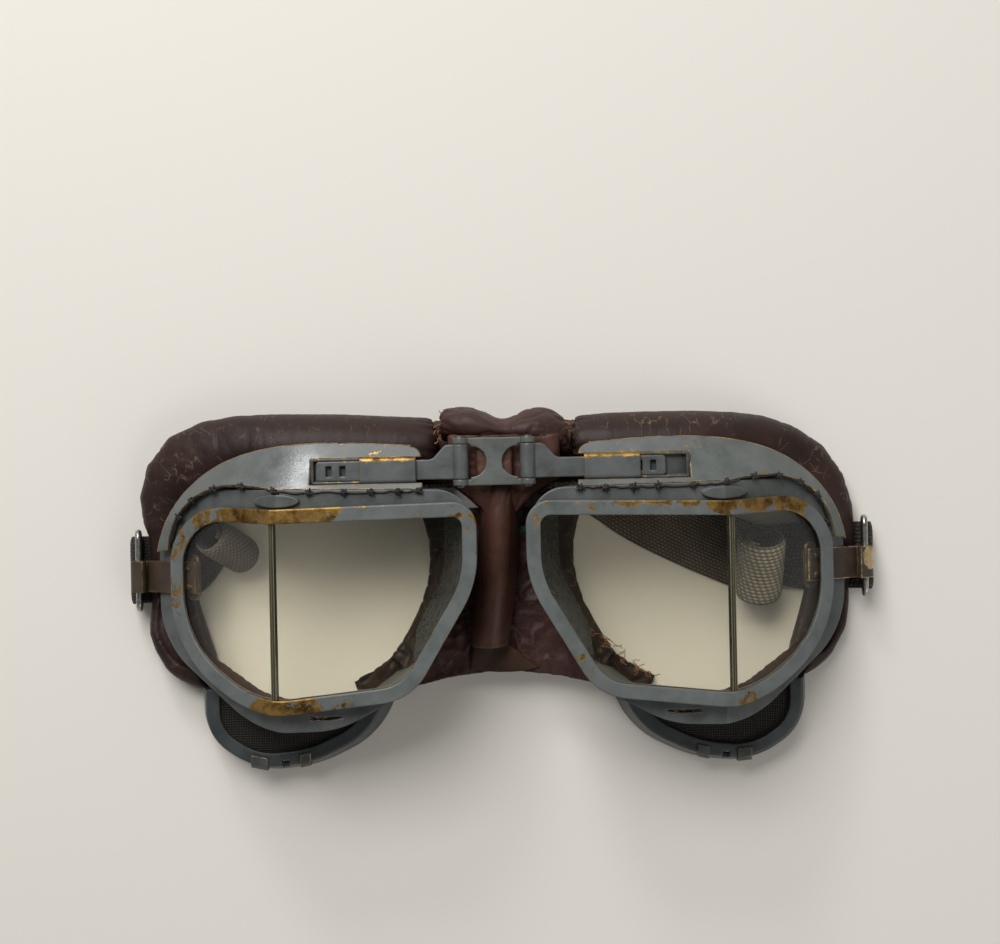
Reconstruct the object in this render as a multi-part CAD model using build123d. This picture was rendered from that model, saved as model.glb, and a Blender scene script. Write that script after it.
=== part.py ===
from build123d import *
from math import cos, radians, sin, tan
import os

# Aviator flying goggles: two folded-lens eyecups on a hinged bridge link, with padded leather rolls.
# They lie on their pads: X runs to the wearer's left, Y to the brow, Z out of the face side to the front.
# All lengths are in millimetres. Shapes are drawn for the +X eyecup and mirrored for the other.

# Lens and eyecup
FRONT_Z = 34.0
CREASE_X = 52.5
SIDE_ANGLE = 32.0
BACK_Z = 5.0
WALL = 0.9
LIP = 0.7
GLASS = 1.6
GASKET = 0.7
RIM_DEPTH = LIP + GLASS + GASKET
LEDGE_DEPTH = 5.0
BEZEL_FACE = 3.3
GLASS_INSET = 1.3
NECK_INSET = 0.3
JOINT_WIDTH = 1.2
FELT = 1.0

# Corners are (x, y, radius of the arc that rounds them), anticlockwise from the nose-side top
BEZEL = [
    (5.6, 19.0, 5.5), (5.6, 0.5, 24), (21.1, -25.6, 13), (56.9, -29.4, 26),
    (78.3, -15.4, 26), (78.3, 19.3, 13.5), (CREASE_X, 18.0, 0),
]
CUP_FRONT = [
    (5.6, 21.5, 8), (5.6, 0.0, 24), (20.2, -24.3, 13), (37.7, -33.0, 24),
    (57.1, -33.4, 23), (82.5, -13.7, 20), (82.5, 22.8, 17),
]
CUP_BACK = [
    (12.5, 22.5, 8), (12.5, 1.5, 24), (24.5, -22.5, 13), (38.5, -33.2, 22),
    (57.1, -33.6, 23), (82.7, -13.8, 20), (82.7, 23.0, 17),
]

# Louvre pressed up from the ledge above the crease, as (x, y, half length, half width, rise), and the
# vent cut through the ledge at the bottom
LOUVRE = (51.5, 19.8, 5.4, 1.5, 0.9)
VENT = (41.0, -30.2, 8.0, 0.9)

# Brow plate: the edge along the stitches and the free edge over the leather, as (x, y, z)
PLATE = 1.0
PLATE_INNER = [
    (17.9, 21.3, 26.6), (34.5, 21.3, 26.6), (50.0, 21.6, 26.4), (62.0, 23.2, 22.6),
    (70.0, 21.6, 18.2), (76.0, 17.0, 15.0), (79.2, 8.6, 13.2),
]
PLATE_OUTER = [
    (18.3, 31.6, 20.8), (34.0, 32.6, 20.6), (46.0, 32.6, 20.0), (57.0, 31.2, 18.6),
    (66.5, 27.9, 16.2), (75.0, 21.6, 13.6), (80.2, 14.0, 12.4), (82.2, 8.0, 11.4),
]
PLATE_CORNER = (20.8, 29.3, 2.5)

# Adjuster: the sleeve and track on the brow plate, and the tongue that slides through them
TRACK_LOW, TRACK_HIGH = 23.4, 29.4
TRACK_BASE = 21.6
TRACK_WALL = 0.6
SLEEVE_START, SLEEVE_END, TRACK_END = 19.5, 32.5, 44.0
SLEEVE_TOP = 26.0
TONGUE = 1.2
TONGUE_GAP = 0.1

# Bridge link and its two pins
LINK_X = -1.3
LINK_Y = 28.05
LINK_HEIGHT = 11.1
PIN_SPREAD = 7.8
PIN_Z = 24.35
PIN_R = 0.8
PIN_FIT = 0.06
KNUCKLE_R = 1.8
BARREL = 8.0
CUTOUT_R = 3.6
LINK_WEB = 3.6
TIP = {"left": 42.6, "right": 38.4}

# Strap lug, wire loop and strap at each temple
LUG_Y = 2.0
LUG_WIDTH = 7.6
LUG_X, LUG_Z = 88.1, 8.1
LUG_BARREL_R = 1.9
LUG_SHEET = 1.1
LUG_PLATE = (25.6, 43.9)
LUG_RETURN = 40.8
WIRE_R = 0.75
WIRE_FIT = 0.08
LOOP_HEIGHT = 20.0
LOOP_REACH = 4.4
LOOP_Y = 3.3
LOOP_TILT = 80.0
STRAP_WIDTH = 16.4
STRAP = 1.5

# Webbing: the roll at each temple as (x, y, radius, lift of its brow end, turn), and the route of the
# middle stretch behind the brow
CURL = {"right": (61.6, 6.2, 4.9, 28.0, 0.0), "left": (67.6, 10.9, 4.4, 42.0, -45.0)}
CURL_LIFT = 2.0
STRAP_SPLIT_X = 82.8
STRAP_ROUTE = [
    (-58.0, 17.8), (-50.0, 28.0), (-26.0, 30.2), (6.0, 30.0), (24.0, 23.5), (38.0, 12.6), (60.5, 3.2),
]

# Soft parts stand this far off what moves against them, and the bridge pad off the swinging cups
SOFT_GAP = 0.3
PAD_GAP = 1.8

# Rolls as (x, y, half width, height) stations along their length
SIDE_ROLL = {
    "right": [
        (15.1, 31.6, 5.6, 12.5), (18.6, 31.8, 7.3, 16.8), (33.0, 31.8, 7.6, 18.0), (48.0, 31.6, 7.8, 17.8),
        (62.0, 30.0, 8.2, 15.4), (73.4, 24.4, 8.2, 12.0), (79.4, 14.0, 7.0, 8.8), (80.2, 0.0, 5.8, 6.8),
        (76.8, -13.0, 5.2, 6.8), (71.2, -25.6, 3.8, 6.8),
    ],
    "left": [
        (12.9, 31.4, 5.6, 12.5), (16.6, 31.6, 7.4, 16.8), (33.0, 32.0, 7.9, 18.0), (48.0, 32.2, 8.4, 17.8),
        (62.6, 31.2, 9.4, 15.4), (74.6, 27.0, 10.6, 12.0), (80.6, 19.0, 8.2, 9.2), (80.0, 11.0, 6.2, 8.0),
        (80.2, -2.0, 5.6, 6.8), (77.2, -13.6, 5.6, 6.8), (71.6, -25.8, 4.2, 6.8),
    ],
}
ROLL_END_SLOPE = 11.0
FACE_PAD = [
    (36.0, -28.0, 3.2, 6.6), (25.6, -22.4, 3.8, 6.6), (18.8, -13.0, 4.0, 6.6), (14.2, -2.0, 4.2, 6.6),
    (13.6, 9.0, 4.2, 6.6), (16.0, 18.0, 4.2, 6.6),
]

# Nose roll and brow roll sections as (x, y, half width, bottom z, top z)
NOSE_ROLL = [
    (0.4, 22.9, 4.3, 8.0, 22.0), (-0.4, 12.0, 4.8, 6.0, 21.8), (-1.3, 0.0, 4.9, 5.0, 21.0),
    (-2.6, -10.0, 4.8, 4.6, 19.4), (-3.4, -16.2, 4.5, 5.0, 17.6),
]
BROW_ROLL = [
    (-12.2, 37.0, 4.2, 6.5, 19.0), (-8.6, 36.9, 5.0, 5.0, 21.6), (1.0, 35.6, 4.6, 4.6, 21.4),
    (10.0, 35.2, 5.2, 5.0, 21.2), (14.4, 33.6, 5.0, 6.5, 18.6),
]
BRIDGE_PAD = (-12.2, 14.2), (16.0, 34.6), (16.0, 21.2)

# Leather web between the nose roll and the cup
WEB = [
    (0.05, 17.0, 1), (0.05, -22.4, 0.5), (14.0, -24.2, 10), (25.5, -27.0, 1), (23.0, -18.0, 4),
    (12.0, 2.0, 4), (12.0, 17.0, 1),
]
WEB_Z, WEB_SHEET = 7.2, 1.2

# Cheek vent rim
CHEEK = [
    (25.7, -20.0, 2), (29.6, -36.6, 20), (46.0, -44.5, 30), (60.5, -46.0, 18),
    (73.0, -37.5, 13), (73.0, -20.0, 2),
]
CHEEK_TOP, CHEEK_BASE = 10.5, 2.0
CHEEK_FLARE, CHEEK_FLANGE, CHEEK_SHEET = 2.0, 4.2, 1.2
CHEEK_ROUND = 0.8
CHEEK_NOTCH_X, CHEEK_NOTCH_Y = (52.2, 54.0), -42.8
CHEEK_END_Y = -25.5
GAUZE = 0.6


def wire(corners):
    """Closed outline of straight runs joined by tangent arcs."""
    points = [Vector(x, y) for x, y, _ in corners]
    stops, edges = [], []
    for i, (here, (_, _, radius)) in enumerate(zip(points, corners)):
        back = (points[i - 1] - here).normalized()
        ahead = (points[(i + 1) % len(points)] - here).normalized()
        half = radians(back.get_angle(ahead)) / 2
        run = radius / tan(half)
        crown = here + (back + ahead).normalized() * (radius / sin(half) - radius)
        stops.append((here + back * run, crown, here + ahead * run))
        if radius:
            edges.append(ThreePointArc(*stops[-1]))
    for (_, _, leave), (arrive, _, _) in zip(stops, stops[1:] + stops[:1]):
        edges.append(Line(leave, arrive))
    return Wire.combine(edges)[0]


def inset(corners, distance):
    """The same outline moved inwards; a negative distance moves it outwards."""
    moved = []
    for i, (x, y, radius) in enumerate(corners):
        here = Vector(x, y)
        arrive = (here - Vector(*corners[i - 1][:2])).normalized()
        leave = (Vector(*corners[(i + 1) % len(corners)][:2]) - here).normalized()
        inward = [Vector(-side.Y, side.X) for side in (arrive, leave)]
        corner = here + (inward[0] + inward[1]) * (distance / (1 + inward[0].dot(inward[1])))
        moved.append((corner.X, corner.Y, max(radius - distance, 0.3) if radius else 0))
    return moved


def prism(corners, low=-5.0, high=60.0):
    """Upright block with the given outline."""
    return extrude(Pos(0, 0, low) * make_face(wire(corners)), high - low)


def block(x, y, z):
    """Box between pairs of coordinates."""
    size = [high - low for low, high in (x, y, z)]
    centre = [(low + high) / 2 for low, high in (x, y, z)]
    return Pos(*centre) * Box(*size)


def behind_lens(depth):
    """All the space behind the folded lens surface, from the given depth on."""
    reach = 70.0
    fold_x = CREASE_X - depth * tan(radians(SIDE_ANGLE / 2))
    fold_z = FRONT_Z - depth
    far_x = fold_x + reach * cos(radians(SIDE_ANGLE))
    far_z = fold_z - reach * sin(radians(SIDE_ANGLE))
    profile = Polyline((-10, fold_z), (fold_x, fold_z), (far_x, far_z), (far_x, -30), (-10, -30), close=True)
    return extrude(Plane.XZ * make_face(profile), 70, both=True)


def lens_layer(near, far):
    """Sheet between two depths behind the lens surface."""
    return behind_lens(near) - behind_lens(far)


def on_side(shape):
    """Place a shape drawn flat, from the crease outwards, on the slanted side of the lens."""
    return Location((CREASE_X, 0, FRONT_Z), (0, SIDE_ANGLE, 0)) * shape


def rod(start, end, radius):
    """Round bar between two points."""
    start, end = Vector(*start), Vector(*end)
    return Plane(origin=start, z_dir=end - start) * Cylinder(
        radius, (end - start).length, align=(Align.CENTER, Align.CENTER, Align.MIN)
    )


def cup_volume(distance=0.0):
    """The leaning block that the eyecup's wall encloses."""
    front = Pos(0, 0, FRONT_Z) * make_face(wire(inset(CUP_FRONT, distance)))
    back = Pos(0, 0, BACK_Z) * make_face(wire(inset(CUP_BACK, distance)))
    return loft([front, back], ruled=True)


def stepped(volume, neck_inset, neck_depth, ledge_depth):
    """Narrow neck behind the bezel and the wider cup below its ledge."""
    neck = volume & prism(inset(BEZEL, neck_inset)) & behind_lens(neck_depth)
    return neck + (volume & behind_lens(ledge_depth))


def make_bezel():
    rim = lens_layer(0, RIM_DEPTH) & prism(BEZEL)
    rim -= behind_lens(LIP) & prism(inset(BEZEL, GLASS_INSET - 0.1))
    return rim - prism(inset(BEZEL, BEZEL_FACE))


def make_glazing():
    """Front pane, cement line at the crease and side pane."""
    sheet = lens_layer(LIP, LIP + GLASS) & prism(inset(BEZEL, GLASS_INSET))
    strip = Location((CREASE_X, 0, FRONT_Z), (0, SIDE_ANGLE / 2, 0)) * Box(JOINT_WIDTH, 120, 12)
    front, side = (sheet - strip).solids().sort_by(Axis.X)
    return front, sheet & strip, side


def make_gasket():
    ring = lens_layer(LIP + GLASS, RIM_DEPTH) & prism(inset(BEZEL, GLASS_INSET))
    return ring - prism(inset(BEZEL, BEZEL_FACE))


def make_eyecup(outer, lug, rivets):
    """Pressed shell, open to the face, with its neck, ledge, vents and lug slot."""
    inner = stepped(cup_volume(WALL), NECK_INSET + WALL, RIM_DEPTH + WALL, LEDGE_DEPTH + WALL)
    x, y, half_length, half_width, rise = LOUVRE
    louvre = extrude(Pos(x, y, 0) * Ellipse(half_length, half_width), 60) & behind_lens(LEDGE_DEPTH - rise)
    shell = outer + (louvre & cup_volume()) - inner - (prism(inset(BEZEL, BEZEL_FACE)) & behind_lens(0))
    x, y, length, width = VENT
    vent = Pos(x, y, BACK_Z + 15) * extrude(SlotOverall(length, width), FRONT_Z - BACK_Z - 15)
    return shell - vent - lug - rivets


def make_felt():
    """Felt strip glued to the nose-side wall inside the cup."""
    strip = cup_volume(WALL) - cup_volume(WALL + FELT)
    return strip & block((0, 21), (-21, 18), (BACK_Z + 2, FRONT_Z - LEDGE_DEPTH - WALL - 1))


def make_lug():
    """Folded plate that passes under the bezel, with a barrel rolled round the loop's wire."""
    low, high = LUG_Y - LUG_WIDTH / 2, LUG_Y + LUG_WIDTH / 2
    plate = block(LUG_PLATE, (low, high), (-LEDGE_DEPTH, -RIM_DEPTH - WALL))
    top = -LEDGE_DEPTH + 2 * LUG_BARREL_R
    plate += block((LUG_RETURN, LUG_PLATE[1]), (low, high), (top - LUG_SHEET, top))
    barrel = rod((LUG_X, low, LUG_Z), (LUG_X, high, LUG_Z), LUG_BARREL_R)
    bore = rod((LUG_X, low - 1, LUG_Z), (LUG_X, high + 1, LUG_Z), WIRE_R + WIRE_FIT)
    return on_side(plate) + barrel - bore


def make_keeper():
    """Oval-ended plate under the lug's inner end, inside the cup."""
    outline = Pos(27.4, LUG_Y, -LEDGE_DEPTH - WALL) * Rot(0, 0, 90) * SlotOverall(LUG_WIDTH + 3.4, 3.6)
    return on_side(extrude(outline, WALL))


def make_lug_rivets():
    """Two rivets through the cup's flange, the lug and the keeper."""
    shanks = Part()
    foot = -LEDGE_DEPTH - WALL
    for y in (LUG_Y - 2.2, LUG_Y + 2.2):
        shanks += rod((27.4, y, foot), (27.4, y, -RIM_DEPTH), 0.6)
        shanks += rod((27.4, y, foot - 0.4), (27.4, y, foot), 1.0)
    return on_side(shanks)


def make_loop():
    """Rectangular wire loop; its inner leg turns in the lug's barrel."""
    half = LOOP_HEIGHT / 2 - WIRE_R
    path = wire([(0, half, 1.4), (0, -half, 1.4), (LOOP_REACH, -half, 1.4), (LOOP_REACH, half, 1.4)])
    section = Plane(origin=path @ 0, z_dir=path % 0) * Circle(WIRE_R)
    return Location((LUG_X, LOOP_Y, LUG_Z), (0, LOOP_TILT, 0)) * sweep(section, path=path)


def make_brow_plate(cup_outer):
    """Sloping crescent of sheet brass with a recess for the track."""
    surface = Face.make_surface_from_curves(Spline(*PLATE_INNER), Spline(*PLATE_OUTER))
    sheet = Solid.thicken(surface, PLATE)
    if sheet.center().Z > surface.center().Z:
        sheet = Solid.thicken(surface, -PLATE)
    recess = block((0, TRACK_END), (TRACK_LOW, TRACK_HIGH), (0, 60))
    x, y, radius = PLATE_CORNER
    corner = block((x - 6, x), (y, y + 12), (0, 60)) - Pos(x, y, 0) * Cylinder(radius, 120)
    return sheet - cup_outer - recess - corner


def make_track():
    """Open channel past the sleeve, where the tongue's windows show."""
    channel = block((SLEEVE_END, TRACK_END), (TRACK_LOW, TRACK_HIGH), (TRACK_BASE, PIN_Z + TONGUE / 2))
    return channel - tunnel(SLEEVE_END - 1, TRACK_END - 0.8, 3)


def make_sleeve():
    """Folded tunnel that holds the tongue."""
    body = block((SLEEVE_START, SLEEVE_END), (TRACK_LOW, TRACK_HIGH), (TRACK_BASE, SLEEVE_TOP))
    body = fillet(body.edges().filter_by(Axis.X).group_by(Axis.Z)[-1], 0.8)
    return body - tunnel(SLEEVE_START - 1, SLEEVE_END + 1, 0)


def tunnel(start, end, rise):
    """Space that the tongue slides in."""
    half = TONGUE / 2 + TONGUE_GAP
    return block((start, end), (TRACK_LOW + TRACK_WALL, TRACK_HIGH - TRACK_WALL),
                 (PIN_Z - half, PIN_Z + half + rise))


def make_arm(side):
    """Hinge barrel, shouldered tab and the tongue with its two windows."""
    pin_x = PIN_SPREAD + (LINK_X if side == "right" else -LINK_X)
    tip_x = TIP[side]
    low, high = TRACK_LOW + TRACK_WALL + TONGUE_GAP, TRACK_HIGH - TRACK_WALL - TONGUE_GAP
    top = LINK_Y + BARREL / 2
    flat = [
        (pin_x, top, 0), (pin_x, LINK_Y - BARREL / 2, 0), (pin_x + 3.4, LINK_Y - BARREL / 2, 0.6),
        (pin_x + 4.2, low, 0.6), (tip_x, low, 0.8), (tip_x, high, 0.8), (pin_x + 6.6, high, 2.2),
        (pin_x + 3.6, top, 1.8),
    ]
    plate = prism(flat, PIN_Z - TONGUE / 2, PIN_Z + TONGUE / 2)
    for gap in (2.2, 5.4):
        plate -= block((tip_x - gap - 1.4, tip_x - gap), (low + 1.1, high - 1.1), (0, 60))
    barrel = rod((pin_x, LINK_Y - BARREL / 2, PIN_Z), (pin_x, top, PIN_Z), KNUCKLE_R)
    bore = rod((pin_x, 0, PIN_Z), (pin_x, 60, PIN_Z), PIN_R + PIN_FIT)
    return plate + barrel - bore


def make_link():
    """H-shaped plate: a narrow web between two half-round cut-outs, and knuckles on its ears."""
    low, high = LINK_Y - LINK_HEIGHT / 2, LINK_Y + LINK_HEIGHT / 2
    edge = LINK_WEB / 2 + CUTOUT_R
    plate = block((LINK_X - PIN_SPREAD, LINK_X + PIN_SPREAD), (low, high),
                  (PIN_Z - TONGUE / 2, PIN_Z + TONGUE / 2))
    ear = (LINK_HEIGHT - BARREL) / 2 - 0.15
    for side in (-1, 1):
        x = LINK_X + side * edge
        outer = LINK_X + side * (PIN_SPREAD + 3)
        plate -= Pos(x, LINK_Y, PIN_Z) * Cylinder(CUTOUT_R, 5)
        plate -= block(sorted((x, outer)), (low + ear, high - ear), (0, 60))
        pin_x = LINK_X + side * PIN_SPREAD
        for start in (low, high - ear):
            plate += rod((pin_x, start, PIN_Z), (pin_x, start + ear, PIN_Z), KNUCKLE_R)
        plate -= rod((pin_x, 0, PIN_Z), (pin_x, 60, PIN_Z), PIN_R)
    return plate


def make_pins():
    """Two headed pins, pressed into the link's knuckles."""
    low, high = LINK_Y - LINK_HEIGHT / 2, LINK_Y + LINK_HEIGHT / 2
    pins = []
    for x in (LINK_X - PIN_SPREAD, LINK_X + PIN_SPREAD):
        pin = rod((x, low, PIN_Z), (x, high, PIN_Z), PIN_R)
        pin += rod((x, low - 0.4, PIN_Z), (x, low, PIN_Z), PIN_R + 0.4)
        pin += rod((x, high, PIN_Z), (x, high + 0.4, PIN_Z), PIN_R + 0.4)
        pins.append(pin)
    return Compound(pins)


def roll_section(plane, half_width, height):
    """Section of a stuffed roll: flat where it rests, full at the sides and crowned on top."""
    foot, shoulder = half_width * 0.6, half_width * 0.6
    side_z, shoulder_z = height * 0.42, height * 0.88
    outline = Wire([
        Line((-foot, 0), (foot, 0)),
        ThreePointArc((foot, 0), (half_width, side_z), (shoulder, shoulder_z)),
        ThreePointArc((shoulder, shoulder_z), (0, height), (-shoulder, shoulder_z)),
        ThreePointArc((-shoulder, shoulder_z), (-half_width, side_z), (-foot, 0)),
    ])
    return plane * make_face(outline)


def refine(stations):
    """The stations with one more, on a smooth curve, between each pair."""
    ends = [stations[0], *stations, stations[-1]]
    fuller = []
    for before, here, after, beyond in zip(ends, ends[1:], ends[2:], ends[3:]):
        middle = [(9 * (b + c) - a - d) / 16 for a, b, c, d in zip(before, here, after, beyond)]
        fuller += [here, middle]
    return fuller + [stations[-1]]


def roll(stations):
    """Stuffed roll through (x, y, half width, height) stations that rest on the floor."""
    stations = refine(stations)
    points = [Vector(x, y) for x, y, *_ in stations]
    sections = []
    for i, (_, _, half_width, height) in enumerate(stations):
        along = points[min(i + 1, len(points) - 1)] - points[max(i - 1, 0)]
        plane = Plane(origin=points[i], x_dir=(-along.Y, along.X, 0), z_dir=along)
        sections.append(roll_section(plane, half_width, height))
    return loft(sections, ruled=True)


def cheek_volume(distance, top):
    """The flared block inside the cheek vent's rim."""
    upper = Pos(0, 0, top) * make_face(wire(inset(CHEEK, distance + CHEEK_FLARE / 2)))
    lower = Pos(0, 0, CHEEK_BASE) * make_face(wire(inset(CHEEK, distance - CHEEK_FLARE / 2)))
    return loft([upper, lower], ruled=True)


def make_cheek_rim(cup_outer):
    """L-section rim under the cup, bent from strip and butted at a notched joint."""
    front = block((0, 120), (-80, CHEEK_END_Y), (-5, 60))
    rim = cheek_volume(0, CHEEK_TOP) - cheek_volume(CHEEK_SHEET, CHEEK_TOP - CHEEK_SHEET)
    rim = fillet(rim.edges().group_by(Axis.Z)[-1], CHEEK_ROUND)
    rim -= prism(inset(CHEEK, CHEEK_FLANGE))
    notch = block(CHEEK_NOTCH_X, (-60, CHEEK_NOTCH_Y), (CHEEK_TOP - 2 * CHEEK_SHEET, 60))
    return (rim & front) - cup_outer - notch


def make_cheek_gauze(cup_outer):
    """Flat gauze screen clamped under the rim's flange."""
    top = CHEEK_TOP - CHEEK_SHEET
    sheet = prism(inset(CHEEK, CHEEK_FLANGE - 0.8), top - GAUZE, top)
    return (sheet & block((0, 120), (-80, CHEEK_END_Y), (-5, 60))) - cup_outer


def band(path, slack):
    """Webbing of full width along a path drawn in X and Z."""
    plane = Plane(origin=path @ 0, x_dir=(0, 1, 0), z_dir=path % 0)
    section = plane * Rectangle(STRAP_WIDTH + 2 * slack, STRAP + 2 * slack)
    return Pos(0, LOOP_Y, 0) * sweep(section, path=path)


def strap_end(slack=0.0):
    """The webbing's turn round the loop's bar, down to the floor."""
    bar_x = LUG_X + LOOP_REACH * cos(radians(LOOP_TILT))
    bar_z = LUG_Z - LOOP_REACH * sin(radians(LOOP_TILT))
    grip = WIRE_R + 0.1 + STRAP / 2
    return band(Plane.XZ * Wire([
        ThreePointArc((bar_x, bar_z + grip), (bar_x + grip, bar_z), (bar_x, bar_z - grip)),
        Spline((bar_x, bar_z - grip), (STRAP_SPLIT_X, STRAP / 2), tangents=((-1, 0), (-1, 0))),
    ]), slack)


def strap_roll(side, slack=0.0):
    """The webbing led in under the side roll and rolled up inside the cup."""
    x, y, radius, lift, turn = CURL[side]
    low, half = STRAP / 2, STRAP_WIDTH / 2 + slack
    end_x = x + STRAP_WIDTH / 2 * sin(radians(turn))
    lead = band(Plane.XZ * Wire([
        Line((STRAP_SPLIT_X - SOFT_GAP, low), (end_x + 9, low)),
        Spline((end_x + 9, low), (end_x, low + CURL_LIFT), tangents=((-1, 0), (-1, 0))),
    ]), slack)
    ring = Circle(radius + STRAP / 2 + slack) - Circle(radius - STRAP / 2 - slack)
    tube = Pos(0, half, radius + CURL_LIFT) * extrude(Plane.XZ * ring, half, both=True)
    foot = Pos(x, y, low + SOFT_GAP) * Rot(0, 0, turn) * Pos(0, -half, 0)
    return lead + foot * Rot(lift, 0, 0) * tube


def strap_back(slack=0.0):
    """Middle of the strap, lying flat behind the brow and across the right cup."""
    route = FilletPolyline(*STRAP_ROUTE, radius=12)
    return Pos(0, 0, -slack) * extrude(trace(route, STRAP_WIDTH + 2 * slack), STRAP + 2 * slack)


def make_nose_roll():
    """Upright roll between the cups, slimmer at its sewn lower end."""
    sections = []
    for x, y, half_width, base, top in NOSE_ROLL:
        plane = Plane(origin=(x, y, base), x_dir=(-1, 0, 0), z_dir=(0, 1, 0))
        sections.append(roll_section(plane, half_width, top - base))
    return loft(sections)


def make_brow_roll():
    """Short roll over the bridge, with drawn-in ends."""
    sections = []
    for x, y, half_width, base, top in BROW_ROLL:
        plane = Plane(origin=(x, y, base), x_dir=(0, 1, 0), z_dir=(1, 0, 0))
        sections.append(roll_section(plane, half_width, top - base))
    return loft(sections)


def make_bridge_pad(keep_clear):
    """Leather-covered panel under the link, raised where it is held."""
    panel = block(*BRIDGE_PAD)
    panel = fillet(panel.edges().filter_by(Axis.Y), 2.0)
    seat = block((LINK_X - 4.2, LINK_X + 4.2), (LINK_Y - 4, LINK_Y + 4), (20, PIN_Z - TONGUE / 2))
    return panel + seat - keep_clear


def make_cup_side(side):
    """Every sub-part that goes with the +X eyecup, by name."""
    outer = stepped(cup_volume(), NECK_INSET, RIM_DEPTH, LEDGE_DEPTH)
    lug, rivets = make_lug(), make_lug_rivets()
    front_pane, joint, side_pane = make_glazing()
    band_room = strap_back(SOFT_GAP)
    nose_roll = make_nose_roll()
    if side == "left":
        band_room, nose_roll = mirror(band_room, about=Plane.YZ), mirror(nose_roll, about=Plane.YZ)
    cheek_room = cheek_volume(-SOFT_GAP, CHEEK_TOP + SOFT_GAP)
    strap_room = strap_end(SOFT_GAP) + strap_roll(side, SOFT_GAP)
    cup_room = cup_volume(-0.1)
    end_x = SIDE_ROLL[side][0][0]
    end_room = Location((end_x, 0, PIN_Z), (0, -ROLL_END_SLOPE, 0)) * block((-30, 0), (10, 60), (-40, 10))
    web_room = cup_volume(-SOFT_GAP) + cheek_room + nose_roll
    return {
        "eyecup_body": make_eyecup(outer, lug, rivets),
        "lens_bezel": make_bezel(),
        "front_glass": front_pane,
        "side_glass": side_pane,
        "glass_joint": joint,
        "lens_gasket": make_gasket(),
        "felt_lining": make_felt(),
        "brow_plate": make_brow_plate(outer),
        "adjuster_track": make_track(),
        "adjuster_sleeve": make_sleeve(),
        "bridge_arm": make_arm(side),
        "side_roll": roll(SIDE_ROLL[side]) - cup_room - cheek_room - end_room - band_room - strap_room,
        "face_pad": roll(FACE_PAD) - cup_room - cheek_room - band_room,
        "cheek_rim": make_cheek_rim(outer),
        "cheek_gauze": make_cheek_gauze(outer),
        "strap_lug": lug - rivets,
        "lug_keeper": make_keeper() - rivets,
        "lug_rivets": rivets,
        "strap_loop": make_loop(),
        "strap_end": strap_end(),
        "strap_roll": strap_roll(side),
        "nose_web": prism(WEB, WEB_Z, WEB_Z + WEB_SHEET) - web_room,
    }


def make_all():
    """Every sub-part, by name."""
    parts = {"right_" + name: shape for name, shape in make_cup_side("right").items()}
    for name, shape in make_cup_side("left").items():
        parts["left_" + name] = mirror(shape, about=Plane.YZ)
    nose_roll, brow_roll = make_nose_roll(), make_brow_roll()
    cup_room = cup_volume(-PAD_GAP)
    cups_room = cup_room + mirror(cup_room, about=Plane.YZ)
    parts.update({
        "link_plate": make_link(),
        "hinge_pins": make_pins(),
        "nose_roll": nose_roll,
        "brow_roll": brow_roll,
        "bridge_pad": make_bridge_pad(nose_roll + brow_roll + cups_room),
        "strap_back": strap_back(),
    })
    return parts


os.makedirs("parts", exist_ok=True)
parts = make_all()
top = parts["brow_roll"].bounding_box().max.Y
bottom = parts["right_cheek_rim"].bounding_box().min.Y
middle = (top + bottom) / 2
for name, shape in parts.items():
    solids = (Pos(0, -middle, 0) * shape).solids()
    export_step(solids[0] if len(solids) == 1 else Compound(solids), f"parts/{name}.step")
    if len(solids) > 1:
        print(name, "solids", [round(solid.volume, 2) for solid in solids])
print("middle y", round(middle, 3), "pins x", LINK_X - PIN_SPREAD, LINK_X + PIN_SPREAD)
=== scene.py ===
import bpy
import bmesh
import random
from math import atan2, cos, exp, hypot, pi, radians, sin
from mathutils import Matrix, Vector, noise
from mathutils.bvhtree import BVHTree


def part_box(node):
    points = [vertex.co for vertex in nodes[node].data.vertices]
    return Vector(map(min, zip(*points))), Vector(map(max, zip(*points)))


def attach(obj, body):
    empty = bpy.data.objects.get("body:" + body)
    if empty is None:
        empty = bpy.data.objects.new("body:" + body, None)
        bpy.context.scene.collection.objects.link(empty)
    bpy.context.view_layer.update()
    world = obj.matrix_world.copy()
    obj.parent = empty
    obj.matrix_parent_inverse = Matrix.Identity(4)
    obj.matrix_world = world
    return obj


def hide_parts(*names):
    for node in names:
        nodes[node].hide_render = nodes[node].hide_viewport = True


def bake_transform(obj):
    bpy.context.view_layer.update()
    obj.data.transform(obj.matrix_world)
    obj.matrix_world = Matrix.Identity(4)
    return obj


# The goggles lie on their pads, lens side up, on a plain pale sheet in soft light.
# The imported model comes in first, and everything else is placed from it.
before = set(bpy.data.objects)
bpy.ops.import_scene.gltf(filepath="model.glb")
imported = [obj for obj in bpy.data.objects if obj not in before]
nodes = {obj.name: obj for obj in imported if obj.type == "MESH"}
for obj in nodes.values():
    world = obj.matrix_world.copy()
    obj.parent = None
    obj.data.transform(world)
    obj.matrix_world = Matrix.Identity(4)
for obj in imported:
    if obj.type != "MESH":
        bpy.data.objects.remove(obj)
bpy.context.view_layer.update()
scene = bpy.context.scene
scene.view_settings.view_transform = "Standard"
# The link plate's middle lies this far above the eye line, in metres
LINK_RISE = 0.02805
link_low, link_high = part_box("link_plate")
EYE_LINE = (link_low[1] + link_high[1]) / 2 - LINK_RISE


# Floor: a sheet of pale matt paper under the goggles, 4 m wide and a hair below them.
# It carries their shadow and is not part of the object.
def put(name, data):
    """A new object in the scene."""
    made = bpy.data.objects.new(name, data)
    scene.collection.objects.link(made)
    return made


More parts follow.
